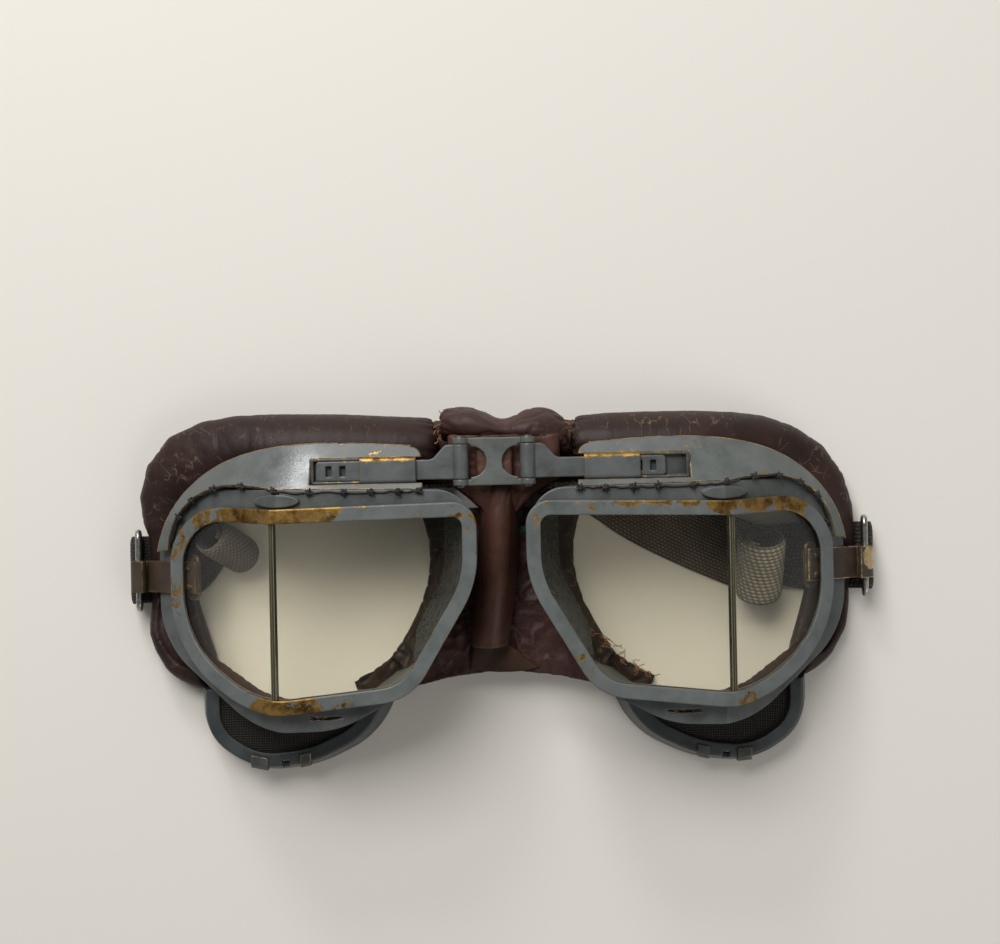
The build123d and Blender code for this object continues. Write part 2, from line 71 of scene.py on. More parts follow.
def linear(hex_colour):
    """The linear colour of an sRGB hex value."""
    channels = [int(hex_colour[i:i + 2], 16) / 255 for i in (1, 3, 5)]
    return [c / 12.92 if c <= 0.04045 else ((c + 0.055) / 1.055) ** 2.4 for c in channels] + [1.0]


def add(tree, kind, settings=None, links=None):
    """Adds a shader node with its settings, by property or socket, and the links into it."""
    made = tree.nodes.new(kind)
    for name, value in (settings or {}).items():
        if isinstance(name, int) or name in made.inputs:
            made.inputs[name].default_value = value
        else:
            setattr(made, name, value)
    for name, socket in (links or {}).items():
        tree.links.new(socket, made.inputs[name])
    return made


def start_material(name):
    """An empty material: its node tree, its shader and the object's own coordinates."""
    material = bpy.data.materials.new(name)
    material.use_nodes = True
    tree = material.node_tree
    shader = tree.nodes["Principled BSDF"]
    where = add(tree, "ShaderNodeTexCoord").outputs["Object"]
    return material, tree, shader, where


def feed(tree, shader, values):
    """Gives a shader its inputs, each as one uniform value or as a socket to link."""
    for name, value in values.items():
        if isinstance(value, bpy.types.NodeSocket):
            tree.links.new(value, shader.inputs[name])
        else:
            shader.inputs[name].default_value = value


EDGE, DROP = 2.0, -0.0003
floor_mesh = bpy.data.meshes.new("floor")
floor_mesh.from_pydata([(-EDGE, -EDGE, DROP), (EDGE, -EDGE, DROP), (EDGE, EDGE, DROP), (-EDGE, EDGE, DROP)], [],
                       [(0, 1, 2, 3)])
paper, tree, shader, where = start_material("backdrop_paper")
feed(tree, shader, {"Base Color": linear("#e6e1d8"), "Roughness": 0.9})
floor_mesh.materials.append(paper)
put("floor", floor_mesh)


# Light: a large soft box above the brow to the left, a weaker one in front, and a low window beyond the
# brow. The sky is even, with a dark card straight overhead, which keeps the glass clear.
def ramp(tree, value, low, high, to_low=0.0, to_high=1.0, smooth=False):
    """A value taken from low..high to to_low..to_high, and held at its ends."""
    return add(tree, "ShaderNodeMapRange",
               {"interpolation_type": "SMOOTHSTEP" if smooth else "LINEAR", "From Min": low, "From Max": high,
                "To Min": to_low, "To Max": to_high}, {"Value": value}).outputs["Result"]


def mix(tree, share, first, second):
    """Two colours mixed, each given as a hex value or a socket."""
    settings, links = {"data_type": "RGBA"}, {"Factor": share}
    for slot, colour in ((6, first), (7, second)):
        if isinstance(colour, str):
            settings[slot] = linear(colour)
        else:
            links[slot] = colour
    return add(tree, "ShaderNodeMix", settings, links).outputs[2]


world = bpy.data.worlds.new("studio")
world.use_nodes = True
sky = world.node_tree
height = add(sky, "ShaderNodeSeparateXYZ", {}, {0: add(sky, "ShaderNodeTexCoord").outputs["Generated"]}).outputs["Z"]
card = ramp(sky, height, 0.80, 0.93, smooth=True)
feed(sky, sky.nodes["Background"], {"Color": mix(sky, card, "#f4f3f1", "#5c5a56"), "Strength": 0.31})
scene.world = world
LIT_POINT = Vector((0, 0.01, 0.02))
for name, place, size, power in (
    ("soft_box_brow", (-0.22, 0.5, 0.75), 0.45, 5.4),
    ("soft_box_front", (0.5, -0.4, 0.6), 0.5, 1.3),
    ("window_low", (-0.19, 0.71, 0.41), 0.16, 1.7),
):
    lamp = bpy.data.lights.new(name, "AREA")
    lamp.shape = "SQUARE"
    lamp.size = size
    lamp.energy = power
    soft_box = put(name, lamp)
    soft_box.location = place
    soft_box.rotation_euler = (LIT_POINT - Vector(place)).to_track_quat("-Z", "Y").to_euler()


# Camera: straight above the bridge, about 350 mm over the lenses, turned a little as in the photograph.
# Its place, like those of all that follows, is given in millimetres from the eye line.
def point(x, y, z):
    """A point given in millimetres from the eye line, in metres."""
    return Vector((x / 1000, y / 1000 + EYE_LINE, z / 1000))


camera_data = bpy.data.cameras.new("camera")
camera_data.lens = 55.5
camera_data.sensor_width = 36.0
camera_data.clip_start = 0.01
camera = put("camera", camera_data)
camera.location = point(0.0, 25.5, 382.0)
camera.rotation_euler = (0.0, 0.0, radians(-1.2))
scene.camera = camera


# Eyecups, bezels, brow plates, adjusters and bridge arms: sheet brass, pressed and soldered, then stoved
# with grey-blue paint. The paint is thin and eggshell smooth, and has worn through to dull brass on the
# bezels' crowns and along every edge that is handled.
def cloud(tree, where, scale, detail, roughness=0.5):
    """Soft random blotches; scale is how many to a metre, so 1000 gives blotches of 1 mm."""
    return add(tree, "ShaderNodeTexNoise", {"Scale": scale, "Detail": detail, "Roughness": roughness},
               {"Vector": where}).outputs["Fac"]


def calculate(tree, operation, *terms):
    """One step of arithmetic in a material; its terms are numbers or sockets."""
    settings, links = {"operation": operation}, {}
    for slot, term in enumerate(terms):
        (settings if isinstance(term, (int, float)) else links)[slot] = term
    return add(tree, "ShaderNodeMath", settings, links).outputs["Value"]


def near(tree, where, place, far, close, most=1.0, smooth=True):
    """A value that is most within close of a place and fades to 0 at far, both in metres."""
    away = add(tree, "ShaderNodeVectorMath", {"operation": "DISTANCE", 1: place}, {0: where}).outputs["Value"]
    return ramp(tree, away, far, close, 0.0, most, smooth)


def rounded_edge(tree, samples, radius):
    """The normal of slightly rounded edges, and a value that falls below 1 on them."""
    rounded = add(tree, "ShaderNodeBevel", {"samples": samples, "Radius": radius}).outputs["Normal"]
    flat = add(tree, "ShaderNodeNewGeometry").outputs["Normal"]
    facing = add(tree, "ShaderNodeVectorMath", {"operation": "DOT_PRODUCT"}, {0: rounded, 1: flat})
    return rounded, facing.outputs["Value"]


def raised(tree, height, strength, distance, normal=None):
    """The normal of a fine relief, over another normal if there is one."""
    links = {"Height": height}
    if normal is not None:
        links["Normal"] = normal
    return add(tree, "ShaderNodeBump", {"Strength": strength, "Distance": distance}, links).outputs["Normal"]


def worn_paint(name, paint, deep, brass, edge, patches=(), rubbed=None):
    """Stoved paint over brass; patches are (point, reach, strength) where the brass shows most, and rubbed
    is where handling has polished the paint."""
    material, tree, shader, where = start_material(name)
    grime = cloud(tree, where, 160.0, 6.0, 0.65)
    chips = cloud(tree, where, 420.0, 8.0, 0.7)
    specks = cloud(tree, where, 1500.0, 3.0)
    rounded, facing = rounded_edge(tree, 8, 0.0006)
    wear = ramp(tree, facing, 0.998, 0.93, 0.0, edge)
    for place, reach, strength in patches:
        wear = calculate(tree, "MAXIMUM", wear, near(tree, where, place, reach / 1000, reach / 2500, strength))
    bare = ramp(tree, calculate(tree, "ADD", wear, chips), 0.80, 0.87)
    coat = mix(tree, ramp(tree, grime, 0.3, 0.62), deep, paint)
    flecked = mix(tree, ramp(tree, specks, 0.70, 0.74, 0.0, 0.7), coat, "#232625")
    tarnish = cloud(tree, where, 260.0, 5.0, 0.7)
    metal = mix(tree, ramp(tree, tarnish, 0.36, 0.58), "#4f3513", brass)
    # Darkening toward near-black where the AO finds walls close by: painted shade in crevices and recesses, partly
    # also grime that gathers there
    corner = add(tree, "ShaderNodeAmbientOcclusion", {"samples": 6, "only_local": True, "Distance": 0.0016})
    crevice_shade = ramp(tree, corner.outputs["AO"], 0.35, 0.8, 0.75, 0.0)
    dull = ramp(tree, grime, 0.3, 0.7, 0.32, 0.5)
    if rubbed is not None:
        dull = calculate(tree, "SUBTRACT", dull, near(tree, where, rubbed, 0.013, 0.005, 0.16))
    feed(tree, shader, {
        "Base Color": mix(tree, crevice_shade, mix(tree, bare, flecked, metal), "#1d1a15"),
        "Metallic": calculate(tree, "MULTIPLY", bare, 0.85),
        "Roughness": dull,
        "Normal": raised(tree, calculate(tree, "SUBTRACT", specks, bare), 0.35, 0.00006, rounded),
    })
    return material


def dress(material, *names):
    """Puts a material on CAD nodes."""
    for name in names:
        mesh = nodes[name].data
        mesh.materials.clear()
        mesh.materials.append(material)


# Wear is placed where hands and the box rub: over each crease, and low on the nose side
bezel_wear = {
    "left": [(point(-69, 17, 24), 9, 0.36), (point(-60, 18.3, 30), 10, 0.48), (point(-50, 19, 33.8), 11, 0.5),
             (point(-41, 19.4, 34), 9, 0.46), (point(-30, 19.5, 34), 9, 0.24), (point(-16, 19.5, 34), 10, 0.2),
             (point(-8, 15, 34), 7, 0.28), (point(-77, 11, 19), 9, 0.33), (point(-77, -2, 19), 9, 0.3),
             (point(-74, -14, 21), 10, 0.2), (point(-54, -28.4, 33), 8, 0.48), (point(-46, -28, 34), 9, 0.42),
             (point(-35, -27, 34), 9, 0.27)],
    "right": [(point(67, 18.6, 25), 9, 0.44), (point(59, 20.4, 31), 9, 0.54), (point(50.5, 20, 34), 8, 0.52),
              (point(43, 21, 34), 7, 0.44), (point(36, 21, 34), 7, 0.42), (point(29, 21, 34), 7, 0.4),
              (point(20, 20.6, 34), 8, 0.27), (point(9, 16, 34), 7, 0.25), (point(6.5, 6, 34), 9, 0.16),
              (point(17, -19, 34), 7, 0.3), (point(24, -24.6, 34), 6, 0.2), (point(56, -28.8, 32), 6, 0.33)],
}
plate_wear = {
    "left": [(point(-38.5, 32.4, 20.6), 6, 0.24), (point(-30, 32.2, 21), 6, 0.24), (point(-62, 29, 18), 12, 0.1)],
    "right": [(point(46, 32.6, 20), 8, 0.22), (point(28, 32.4, 21), 8, 0.2), (point(62, 29.6, 18), 10, 0.16),
              (point(46, 25.6, 24.4), 2.6, 0.2)],
}
# The left plate is polished where the thumb slides its adjuster
plate_rub = {"left": point(-50, 26.8, 23.2), "right": None}
for side in ("left", "right"):
    low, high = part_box(side + "_adjuster_sleeve")
    # Points over the sleeve's brow edge, which is rubbed bare
    sleeve_wear = [(Vector((low[0] + (high[0] - low[0]) * k / 5, high[1] + 0.0042, high[2])), 6.7, 0.95)
                   for k in range(6)]
    for node, name, paint, deep, brass, edge, patches, rubbed in (
        ("_eyecup_body", "_cup_paint", "#5c605f", "#474b49", "#8a6a34", 0.16, (), None),
        ("_lens_bezel", "_bezel_paint", "#636867", "#535856", "#9a7a42", 0.27, bezel_wear[side], None),
        ("_brow_plate", "_plate_paint", "#626664", "#515653", "#c9a05a", 0.46, plate_wear[side], plate_rub[side]),
        ("_adjuster_sleeve", "_sleeve_paint", "#5d615f", "#4b4f4d", "#b08c4c", 0.3, sleeve_wear, None),
        ("_bridge_arm", "_adjuster_paint", "#5b5f5d", "#484c4a", "#a88a52", 0.26, (), None),
        ("_adjuster_track", "_track_paint", "#4d514f", "#3a3d3c", "#a88a52", 0.3, (), None),
    ):
        dress(worn_paint(side + name, paint, deep, brass, edge, patches, rubbed), side + node)
dress(worn_paint("link_paint", "#60645f", "#4e524e", "#8f8062", 0.24), "link_plate")

# Cheek vent rims: brass strip with a darker blue-grey paint, hardly worn.
# The gauze behind each is a fine dark screen.
dress(worn_paint("vent_paint", "#3f4344", "#2f3334", "#6d675a", 0.16), "left_cheek_rim", "right_cheek_rim")


# Rim clips: little tongues of the same strip, two a side, bent down over the rim by its notch.
# They hold the gauze, and their ends are rubbed to the metal.
def surface_of(*names):
    """CAD nodes as one surface to cast rays onto."""
    verts, faces = [], []
    for name in names:
        mesh = nodes[name].data
        faces += [[v + len(verts) for v in face.vertices] for face in mesh.polygons]
        verts += [v.co.copy() for v in mesh.vertices]
    return BVHTree.FromPolygons(verts, faces)


clip_paint = worn_paint("clip_paint", "#4a4e4e", "#343838", "#a3906a", 0.42)
# A clip's section, in millimetres in from the rim's outer wall and up from the floor
CLIP_SECTION = [(2.6, 10.5), (0.6, 10.5), (-0.05, 9.8), (-0.05, 7.6), (-0.55, 7.6), (-0.55, 10.2), (0.4, 11.05),
                (2.6, 11.05)]
# Where the rim's outer wall is looked for: from well outside it, at this height
RAY_Y, RAY_Z = -60, 8.6
for side, clips in (("left", ((-59.4, 4.0), (-48.2, 2.6))), ("right", ((47.6, 2.8), (57.6, 3.4)))):
    rim = surface_of(side + "_cheek_rim")
    for count, (x, wide) in enumerate(clips, 1):
        corners = []
        for end in (x - wide / 2, x + wide / 2):
            wall = rim.ray_cast(point(end, RAY_Y, RAY_Z), Vector((0, 1, 0)))[0]
            corners += [Vector((end / 1000, wall.y + inward / 1000, z / 1000)) for inward, z in CLIP_SECTION]
        turn = len(CLIP_SECTION)
        faces = [tuple(range(turn))[::-1], tuple(range(turn, 2 * turn))]
        faces += [(k, (k + 1) % turn, (k + 1) % turn + turn, k + turn) for k in range(turn)]
        mesh = bpy.data.meshes.new(f"{side}_rim_clip_{count}")
        mesh.from_pydata(corners, [], faces)
        mesh.materials.append(clip_paint)
        clip = put(mesh.name, mesh)
        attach(clip, side + "_cup")

# Lugs, their keepers and rivets: brass left bare, tarnished brown, with a trace of paint.
# The right lug's folded end is rubbed bright by the loop, and a pale painted highlight lies over it.
dress(worn_paint("lug_brass", "#43362a", "#2f271f", "#8d7648", 0.40), "left_strap_lug",
      "left_lug_keeper", "right_lug_keeper", "left_lug_rivets", "right_lug_rivets")
# Pale, nearly white brass on the right lug's folded end: worn brass with a painted highlight over it
dress(worn_paint("lug_brass_painted_highlight", "#43362a", "#2f271f", "#cdb68c", 0.40, [(point(89.6, 3.4, 9.4), 4.4, 0.7)]),
      "right_strap_lug")


# Strap loops and hinge pins: drawn steel wire, nickelled, dulled by fine scratches.
# The loops are bright, the pins darker.
def drawn_wire(name, tone, roughness):
    """Bare steel with fine scratches, of a tone and a roughness."""
    material, tree, shader, where = start_material(name)
    scratches = cloud(tree, where, 900.0, 5.0)
    feed(tree, shader, {
        "Base Color": mix(tree, scratches, "#5c5a55", tone),
        "Metallic": 1.0,
        "Roughness": ramp(tree, scratches, 0.0, 1.0, roughness - 0.1, roughness + 0.15),
    })
    return material


dress(drawn_wire("nickelled_wire", "#d8d6cf", 0.28), "left_strap_loop", "right_strap_loop")
dress(drawn_wire("pin_steel", "#8d9290", 0.42), "hinge_pins")

# Lenses: two flat panes of plain glass a side, ground to meet at the crease.
# The glass is clear with a faint warm cast and a trace of haze, and lets the lamps' light through.
glass, tree, shader, where = start_material("lens_glass")
feed(tree, shader, {
    "Base Color": linear("#f8f6ee"),
    "Roughness": ramp(tree, cloud(tree, where, 60.0, 8.0, 0.6), 0.45, 0.8, 0.0, 0.06),
    "IOR": 1.5,
    "Transmission Weight": 1.0,
    "Specular IOR Level": 0.3,
})
clear = add(tree, "ShaderNodeBsdfTransparent", {"Color": linear("#f6f4ea")})
in_shadow = add(tree, "ShaderNodeLightPath").outputs["Is Shadow Ray"]
panes = add(tree, "ShaderNodeMixShader", {}, {0: in_shadow, 1: shader.outputs[0], 2: clear.outputs[0]})
tree.links.new(panes.outputs[0], tree.nodes["Material Output"].inputs["Surface"])
dress(glass, "left_front_glass", "left_side_glass", "right_front_glass", "right_side_glass")

# Crease joint: dark cement between the panes, with the ground glass edges showing pale on both sides.
# The gaskets that seat the panes are age-darkened rubber.
cement, tree, shader, where = start_material("crease_cement")
facing = rounded_edge(tree, 6, 0.00035)[1]
feed(tree, shader, {"Base Color": mix(tree, ramp(tree, facing, 0.99, 0.93), "#2f2a1c", "#a39c78"),
                    "Roughness": 0.35})
dress(cement, "left_glass_joint", "right_glass_joint")

gasket, tree, shader, where = start_material("aged_rubber")
feed(tree, shader, {"Base Color": mix(tree, cloud(tree, where, 500.0, 5.0), "#23211c", "#453f33"),
                    "Roughness": 0.7})
dress(gasket, "left_lens_gasket", "right_lens_gasket")


# Felt linings: a strip of dark green wool felt, glued round the nose side of each cup behind the lens, its colour
# pushed nearly to black as painted shade.
# The nap has felted into clumps, and its worn face stands up in a fuzz of short fibres.
def skin(name, node, material, voxel, relax, shape, lie=None):
    """An even skin that replaces a CAD solid: remeshed, relaxed and moved point by point. A point's place
    along and across the piece, in metres, goes into a map for the patterns that follow it."""
    shell = put(name, nodes[node].data.copy())
    even = shell.modifiers.new("even", "REMESH")
    even.mode = "VOXEL"
    even.voxel_size = voxel / 1000
    settled = shell.modifiers.new("settled", "SMOOTH")
    settled.iterations = relax
    mesh = bpy.data.meshes.new_from_object(shell.evaluated_get(bpy.context.evaluated_depsgraph_get()))
    shell.modifiers.clear()
    shell.data = mesh
    if lie:
        spots = [lie(v.co) for v in mesh.vertices]
        layer = mesh.uv_layers.new(name="lie")
        for corner in mesh.loops:
            layer.data[corner.index].uv = spots[corner.vertex_index]
    moved = [shape(v.co.copy(), v.normal.copy()) for v in mesh.vertices]
    for v, place in zip(mesh.vertices, moved):
        v.co = place
    mesh.polygons.foreach_set("use_smooth", [True] * len(mesh.polygons))
    mesh.materials.clear()
    mesh.materials.append(material)
    mesh.update()
    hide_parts(node)
    return shell


felt, tree, shader, where = start_material("felt_darkened_as_shade")
clumps = cloud(tree, where, 520.0, 6.0, 0.7)
feed(tree, shader, {
    # Dark green pushed nearly to black: the felt's own colour, darkened further as painted shade behind the lens
    "Base Color": mix(tree, ramp(tree, clumps, 0.35, 0.65), "#060806", "#12160f"),
    "Roughness": 0.95,
    "Sheen Weight": 0.1,
    "Normal": raised(tree, clumps, 0.9, 0.0004),
})


def napped(place, normal):
    """Felt's uneven face, in clumps of about 1 mm."""
    return place + normal * (0.22 * noise.noise(place * 1000 / 1.1) / 1000)


def fuzz(name, mesh, count, reach, wide, seed):
    """Short curled fibres that stand out of a surface, as thin strips of a few joints."""
    rng = random.Random(seed)
    joints = 5
    corners, strips = [], []
    for face in rng.choices(mesh.polygons, [f.area for f in mesh.polygons], k=count):
        place, aim = face.center.copy(), face.normal.copy()
        step = rng.uniform(0.5, 1.0) * reach / 1000 / (joints - 1)
        side = aim.cross(Vector([rng.gauss(0, 1) for _ in range(3)])).normalized() * (wide / 2000)
        for joint in range(joints):
            half = side * (1 - joint / joints)
            corners += [place - half, place + half]
            if joint:
                last = len(corners)
                strips.append((last - 4, last - 3, last - 1, last - 2))
            aim = (aim + Vector([rng.gauss(0, 0.45) for _ in range(3)])).normalized()
            place = place + aim * step
    fibres = bpy.data.meshes.new(name)
    fibres.from_pydata(corners, [], strips)
    return put(name, fibres)


for side, seed in (("left", 3), ("right", 8)):
    strip = skin(side + "_felt_strip", side + "_felt_lining", felt, 0.3, 1, napped)
    hairs = fuzz(side + "_felt_fuzz", strip.data, 900, 1.5, 0.09, seed)
    hairs.data.materials.append(felt)
    for piece in (strip, hairs):
        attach(piece, side + "_cup")

# Cheek gauzes: fine copper gauze clamped flat under the vent rims' flanges, coloured near black as painted shade,
# the deep shade of the cavity behind each rim.
# Its wires would be 0.3 mm apart, and are drawn twice as coarse so that they show.
WIRE_PITCH = 0.0006
gauze, tree, shader, where = start_material("gauze_painted_black_as_shade")
split = add(tree, "ShaderNodeSeparateXYZ", {}, {0: where})
wires = [calculate(tree, "SINE", calculate(tree, "MULTIPLY", split.outputs[axis], 2 * pi / WIRE_PITCH))
         for axis in ("X", "Y")]
woven = calculate(tree, "MAXIMUM", *wires)
feed(tree, shader, {
    # Near-black wires: painted shade for the dark cavity behind each rim
    "Base Color": mix(tree, ramp(tree, woven, 0.5, 1.0), "#0b0a09", "#3a342c"),
    "Metallic": 0.4,
    "Roughness": 0.6,
    "Normal": raised(tree, woven, 0.8, 0.0001),
})


def dented(place, normal):
    """Gauze with shallow dents."""
    return place + Vector((0, 0, 0.15 * noise.noise(place * 180) / 1000))


for side in ("left", "right"):
    screen = skin(side + "_vent_screen", side + "_cheek_gauze", gauze, 0.25, 1, dented)
    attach(screen, side + "_cup")


# Side rolls: sheepskin dyed oxblood brown and glazed, sewn tight round horsehair, one along the brow and
# temple of each cup. It has a low shine and a fine grain, and its glaze has dried and cracked pale across
# the roll, most of all where the roll bends.
def aged_leather(name, dye, worn, crack, scuffs, verdigris=None):
    """Old glazed leather; scuffs is how strongly its cracks show, and verdigris where green salts sit."""
    material, tree, shader, where = start_material(name)
    lie = add(tree, "ShaderNodeUVMap", {"uv_map": "lie"}).outputs["UV"]
    mottle = cloud(tree, where, 75.0, 6.0, 0.62)
    # Grain pebbles are 0.5 mm across
    grain = add(tree, "ShaderNodeTexVoronoi", {"Scale": 2000.0}, {"Vector": where})
    warp = add(tree, "ShaderNodeTexNoise", {"Scale": 330.0, "Detail": 5.0, "Roughness": 0.6}, {"Vector": where})
    # Creases and cracks run across the roll, 3 mm apart and about 9 mm long
    drawn = add(tree, "ShaderNodeVectorMath", {"operation": "MULTIPLY", 1: (1.0, 0.33, 1.0)}, {0: lie})
    stirred = add(tree, "ShaderNodeVectorMath", {"operation": "MULTIPLY_ADD", 1: (0.0022, 0.0022, 0.0022)},
                  {0: warp.outputs["Color"], 2: drawn.outputs["Vector"]}).outputs["Vector"]
    cracks = add(tree, "ShaderNodeTexVoronoi", {"feature": "DISTANCE_TO_EDGE", "Scale": 420.0}, {"Vector": stirred})
    line = ramp(tree, cracks.outputs["Distance"], 0.05, 0.0)
    dry = ramp(tree, cloud(tree, where, 95.0, 4.0, 0.7), 0.46, 0.66, 0.0, scuffs)
    broken = ramp(tree, cloud(tree, where, 420.0, 2.0), 0.44, 0.56)
    scuff = calculate(tree, "MULTIPLY", calculate(tree, "MULTIPLY", line, broken), dry)
    tone = mix(tree, ramp(tree, mottle, 0.35, 0.68), dye, worn)
    colour = mix(tree, scuff, tone, crack)
    if verdigris is not None:
        salts = calculate(tree, "MULTIPLY", near(tree, where, verdigris, 0.0056, 0.0020, smooth=False),
                          ramp(tree, warp.outputs["Fac"], 0.5, 0.6))
        colour = mix(tree, salts, colour, "#2a8780")
    creases = cloud(tree, stirred, 300.0, 5.0, 0.55)
    relief = calculate(tree, "MULTIPLY_ADD", grain.outputs["Distance"], 0.16, creases)
    sunk = calculate(tree, "MULTIPLY_ADD", scuff, -0.8, relief)
    feed(tree, shader, {
        "Base Color": colour,
        "Roughness": ramp(tree, mottle, 0.3, 0.7, 0.42, 0.6),
        "Specular IOR Level": 0.3,
        "Normal": raised(tree, sunk, 0.5, 0.0003),
    })
    return material


def ridge(x, y, z, sharp=5):
    """0 on smooth ground and 1 along thin wandering folds."""
    return max(0.0, 1 - sharp * abs(noise.noise(Vector((x, y, z)))))


def between(value, low, high):
    """How far a value has come from low to high, from 0 to 1."""
    return min(max((value - low) / (high - low), 0.0), 1.0)


SIGN = {"left": -1, "right": 1}
# Each roll's line from the bridge to the cheek, in millimetres from the bridge and the eye line
ROLL_LINE = {
    "right": [(15.1, 31.6), (33, 31.8), (48, 31.6), (62, 30), (73.4, 24.4), (79.4, 14), (80.2, 0), (76.8, -13),
              (71.2, -25.6)],
    "left": [(12.9, 31.4), (33, 32), (48, 32.2), (62.6, 31.2), (74.6, 27), (80.6, 19), (80, 11), (80.2, -2),
             (77.2, -13.6), (71.6, -25.8)],
}
# Below the lug each roll swells out past the cup's edge, then runs out to a point: where it starts,
# how far it goes, and where the point starts
ROLL_TAIL = {"right": (88.0, 1.7, 104.5), "left": (92.0, 2.8, 110.5)}


def along_roll(side, place):
    """Distance along the roll's line and off it to its outer side, in millimetres."""
    x, y = place.x * 1000 * SIGN[side], (place.y - EYE_LINE) * 1000
    best, run = None, 0.0
    for (ax, ay), (bx, by) in zip(ROLL_LINE[side], ROLL_LINE[side][1:]):
        length = hypot(bx - ax, by - ay)
        share = min(max(((x - ax) * (bx - ax) + (y - ay) * (by - ay)) / length ** 2, 0), 1)
        off = hypot(x - ax - share * (bx - ax), y - ay - share * (by - ay))
        if best is None or off < abs(best[1]):
            outer = (bx - ax) * (y - ay) - (by - ay) * (x - ax) > 0
            best = (run + share * length, off if outer else -off)
        run += length
    return best


def stuffed(side):
    """A side roll's surface: it swells, folds at its bend, is pleated at the bridge and ends in a tail."""
    start, reach, close = ROLL_TAIL[side]
    toward_nose = Vector((-SIGN[side], 0, 0))
    swell_seed, fold_seed = (3.0, 1.0) if side == "left" else (7.0, 5.0)

    def shape(place, normal):
        run, off = along_roll(side, place)
        height = place.z * 1000
        swell = 0.3 * noise.noise(Vector((run / 12, off / 14, swell_seed)))
        bend = exp(-((run - 62) / 16) ** 2)
        fold = ridge(run / 3.6, off / 11 + height / 18, fold_seed)
        end = exp(-max(run - 2.5, 0) / 2.2)
        pleat = ridge(height / 3.0, off / 3.0, 9.0)
        lift = swell - (0.04 + 0.16 * bend) * fold - end * (0.5 + 0.8 * pleat)
        if height < 1.2:
            lift = min(lift, 0.0)
        outside = between(off, -1.5, 1.5)
        tip = between(run, close, close + 11)
        tail = between(run, start, start + 10) * outside * (1 - tip)
        swollen = (Vector((0, -0.25, 0)) - toward_nose) * (reach * tail)
        swollen += (toward_nose + Vector((0, 0.9, 0))) * (2.8 * tip * tip * outside)
        swollen.z += 1.6 * tail * between(height, 2, 5)
        closed = toward_nose * (0.9 * between(run, 4.5, 1.5) * between(height, 8, 14))
        return place + normal * (lift / 1000) + (swollen + closed) / 1000
    return shape


def roll_lie(side):
    """A side roll's map: along its line, and round it."""
    def lie(place):
        run, off = along_roll(side, place)
        return run / 1000, off * (2.7 - place.z * 100) / 1000
    return lie


roll_hide = aged_leather("oxblood_sheepskin", "#21120d", "#33201b", "#7d6346", 0.85)
for side in ("left", "right"):
    roll = skin(side + "_side_roll_leather", side + "_side_roll", roll_hide, 0.6, 5, stuffed(side), roll_lie(side))
    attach(roll, side + "_cup")

# Face pads: the same sheepskin over the cups' nose side, seen through the lenses.
# They are crushed, cracked and gone hard.
pad_hide = aged_leather("crushed_sheepskin", "#1d1411", "#33241c", "#8a7050", 0.9)


def crushed(place, normal):
    """Folds sunk into a pad, except on its underside."""
    x, y, z = place * 1000
    fold = ridge(x / 2.6 + y / 9, y / 3.4, z / 3.0)
    return place - normal * (0.5 * fold / 1000) if z > 1.0 else place


def flat_lie(place):
    """The map of a flat piece, with its cracks drawn out across the face."""
    return place.y, place.x * 2.0


for side in ("left", "right"):
    pad = skin(side + "_face_pad_leather", side + "_face_pad", pad_hide, 0.5, 3, crushed, flat_lie)
    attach(pad, side + "_cup")

# Nose roll, brow roll and the panel under the link: a redder, softer piece of the same leather, in two copies. The
# nose roll's and the panel's copy is painted lighter, as painted light where the cups shade them; the brow roll's
# copy is painted darker, as painted shade where it is lit most.
# The nose roll is smooth and tight; the brow roll is lumpy, sags in the middle and droops to the right.
# Green salts have crept from the right bezel into the leather beside it.
SALTS = point(6.4, 14.3, 8.4)
# The nose leather is lightened as painted light, and the brow leather is darkened as painted shade
lightened_nose_hide = aged_leather("red_brown_sheepskin_painted_lighter", "#43291f", "#5a3b31", "#7d5a49", 0.3, SALTS)
darkened_brow_hide = aged_leather("brow_sheepskin_painted_darker", "#321d18", "#462e28", "#7d5a49", 0.4)


def nose_shape(place, normal):
    """The nose roll is smooth but for folds at its top."""
    x, y, z = place * 1000
    fold = ridge(x / 3.0, y / 8.0, z / 3.0)
    top = exp(-((y - 23) / 5) ** 2)
    return place - normal * ((0.05 + 0.25 * top) * fold / 1000)


def panel_shape(place, normal):
    """The panel's lower half draws in and down to meet the nose roll."""
    x, y, z = place * 1000
    low = between(y - EYE_LINE * 1000, 25.0, 16.5)
    fold = ridge(x / 5.0, y / 3.0, z / 3.0)
    drawn = Vector((-0.42 * low * low * x, 0, -3.2 * low * low * (0.35 + abs(x) / 14)))
    return place + (drawn - normal * 0.25 * fold) / 1000


def nose_lie(place):
    """The nose roll's map: along it, and round it."""
    return place.y, place.x * (3.6 - place.z * 125)


def brow_shape(place, normal):
    """The brow roll is lumpy, sags behind, and is gathered at both ends."""
    x, y, z = place * 1000
    y -= EYE_LINE * 1000
    swell = 0.7 * noise.noise(Vector((x / 7, y / 8, z / 9)))
    fold = ridge(x / 4.2, y / 5.0, z / 5.0 + 2)
    ends = min(exp(-(x + 12.4) / 1.8) + exp((x - 14.6) / 1.8), 1.2)
    pleat = ridge(y / 2.6, z / 2.6, 4.0)
    sag = 1.5 * between(y, 34.0, 39.0) * exp(-((x - 0.5) / 4.5) ** 2)
    lift = swell - 0.25 * fold - ends * 0.6 * pleat
    reach = 2.0 * between(z, 8, 16) * (between(x, 8, 14) - between(x, -6, -12))
    return place + normal * (lift / 1000) + Vector((reach, -sag, 0)) / 1000


def brow_lie(place):
    """The brow roll's map: along it, and round it from its middle line, 35.5 mm above the eye line."""
    return place.x, (place.y - EYE_LINE - 0.0355) * (3.6 - place.z * 125)


